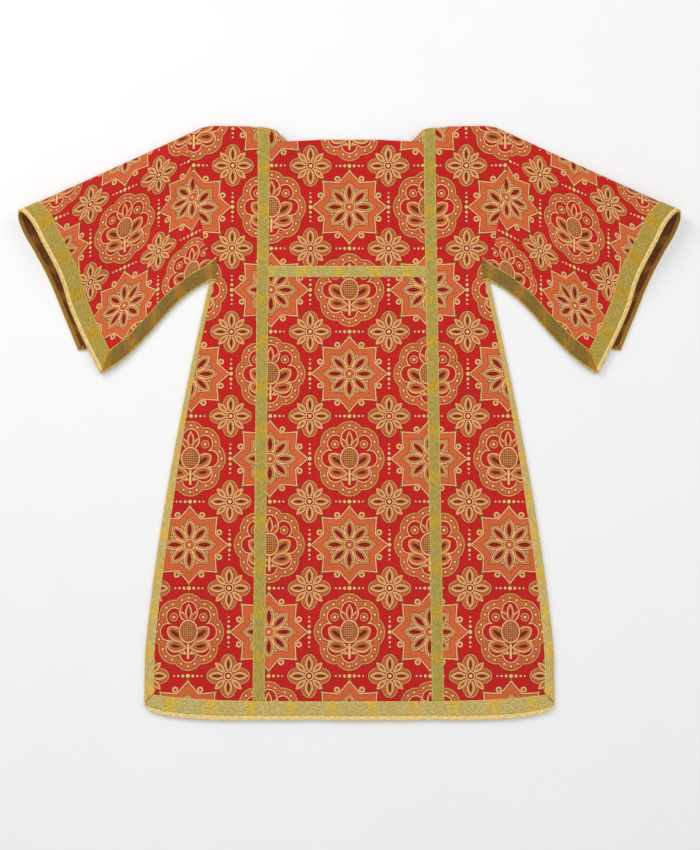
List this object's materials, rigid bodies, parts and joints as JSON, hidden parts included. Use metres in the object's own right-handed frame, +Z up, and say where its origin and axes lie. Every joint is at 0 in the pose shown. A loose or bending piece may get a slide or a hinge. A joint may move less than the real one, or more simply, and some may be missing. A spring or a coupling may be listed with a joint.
{
  "type": "tunicle",
  "caption": "Short-sleeved over-vestment in red and gold brocade laid flat, with a square neck, flared body, upright clavi, a chest bar and gold edge tape.",
  "frame": {"origin": "under the middle of the laid garment, on the surface it lies on", "axes": "+Z up out of the front of the garment, +Y towards the neck, +X towards the wearer's left sleeve"},
  "size_m": [1.257, 1.121, 0.038],
  "materials": {
    "brocade": "red satin-ground brocade with gold and orange figures",
    "edge_tape": "woven gold and olive edge tape",
    "cuff_facing": "woven brown-gold tape inside the cuffs"
  },
  "bodies": {
    "root": {"front_panel": "brocade", "back_panel": "brocade", "sleeve_left": "brocade", "sleeve_right": "brocade", "clavus_front_left": "edge_tape", "clavus_front_right": "edge_tape", "clavus_back_left": "edge_tape", "clavus_back_right": "edge_tape", "chest_bar": "edge_tape", "hem_tape_front": "edge_tape", "hem_tape_back": "edge_tape", "side_tape_left": "edge_tape", "side_tape_right": "edge_tape", "cuff_tape_left": "edge_tape", "cuff_tape_right": "edge_tape", "cuff_facing_left": "cuff_facing", "cuff_facing_right": "cuff_facing", "underarm_tape_front_left": "edge_tape", "underarm_tape_front_right": "edge_tape", "underarm_tape_back_left": "edge_tape", "underarm_tape_back_right": "edge_tape"}
  },
  "joints": []
}
